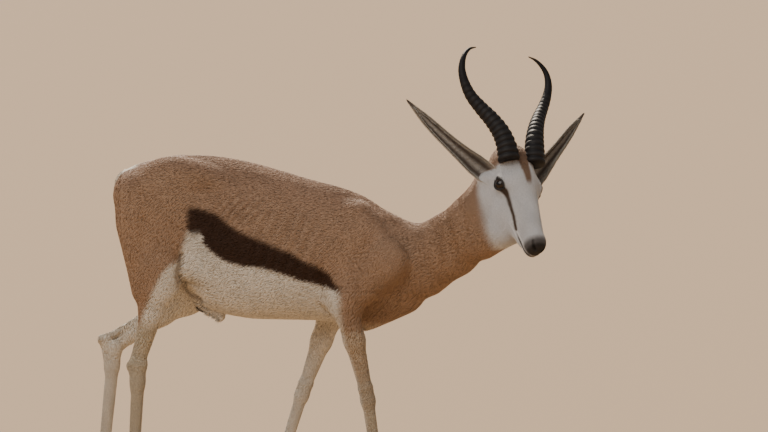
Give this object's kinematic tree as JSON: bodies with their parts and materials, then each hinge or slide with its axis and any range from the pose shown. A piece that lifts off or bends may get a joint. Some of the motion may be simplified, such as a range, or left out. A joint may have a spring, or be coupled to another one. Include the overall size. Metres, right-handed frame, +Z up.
{
  "type": "springbok",
  "caption": "Life-size springbok ram as a still model, walking on cloven hooves with its head turned to its right, lyre horns ringed.",
  "frame": {"origin": "middle of the animal's bounding box, on the ground under its hooves", "axes": "+X towards the front of the animal, +Y to its left, +Z up; the head is turned about 60 degrees to its right"},
  "size_m": [1.0523, 0.3627, 1.0196],
  "materials": {
    "coat_tan": "matt short fur, cinnamon with a dark side band and white belly",
    "coat_pale": "matt short fur, white to pale fawn",
    "coat_face": "matt very short fur, white with a brown stripe from eye to lip",
    "coat_ear": "matt short fur, pale grey-brown",
    "horn": "black horn, satin, ringed",
    "hoof": "black hoof horn, satin",
    "eye": "wet gloss, very dark brown"
  },
  "bodies": {
    "root": {"torso": "coat_tan", "neck": "coat_tan", "head": "coat_face", "ear_right": "coat_ear", "ear_left": "coat_ear", "tail": "coat_pale", "horn_right": "horn", "horn_left": "horn", "eye_right": "eye", "eye_left": "eye", "fore_right_upper": "coat_tan", "fore_right_lower": "coat_pale", "fore_right_claw_outer": "hoof", "fore_right_claw_inner": "hoof", "fore_left_upper": "coat_tan", "fore_left_lower": "coat_pale", "fore_left_claw_outer": "hoof", "fore_left_claw_inner": "hoof", "hind_right_upper": "coat_tan", "hind_right_lower": "coat_pale", "hind_right_claw_outer": "hoof", "hind_right_claw_inner": "hoof", "hind_left_upper": "coat_tan", "hind_left_lower": "coat_pale", "hind_left_claw_outer": "hoof", "hind_left_claw_inner": "hoof"}
  },
  "joints": []
}
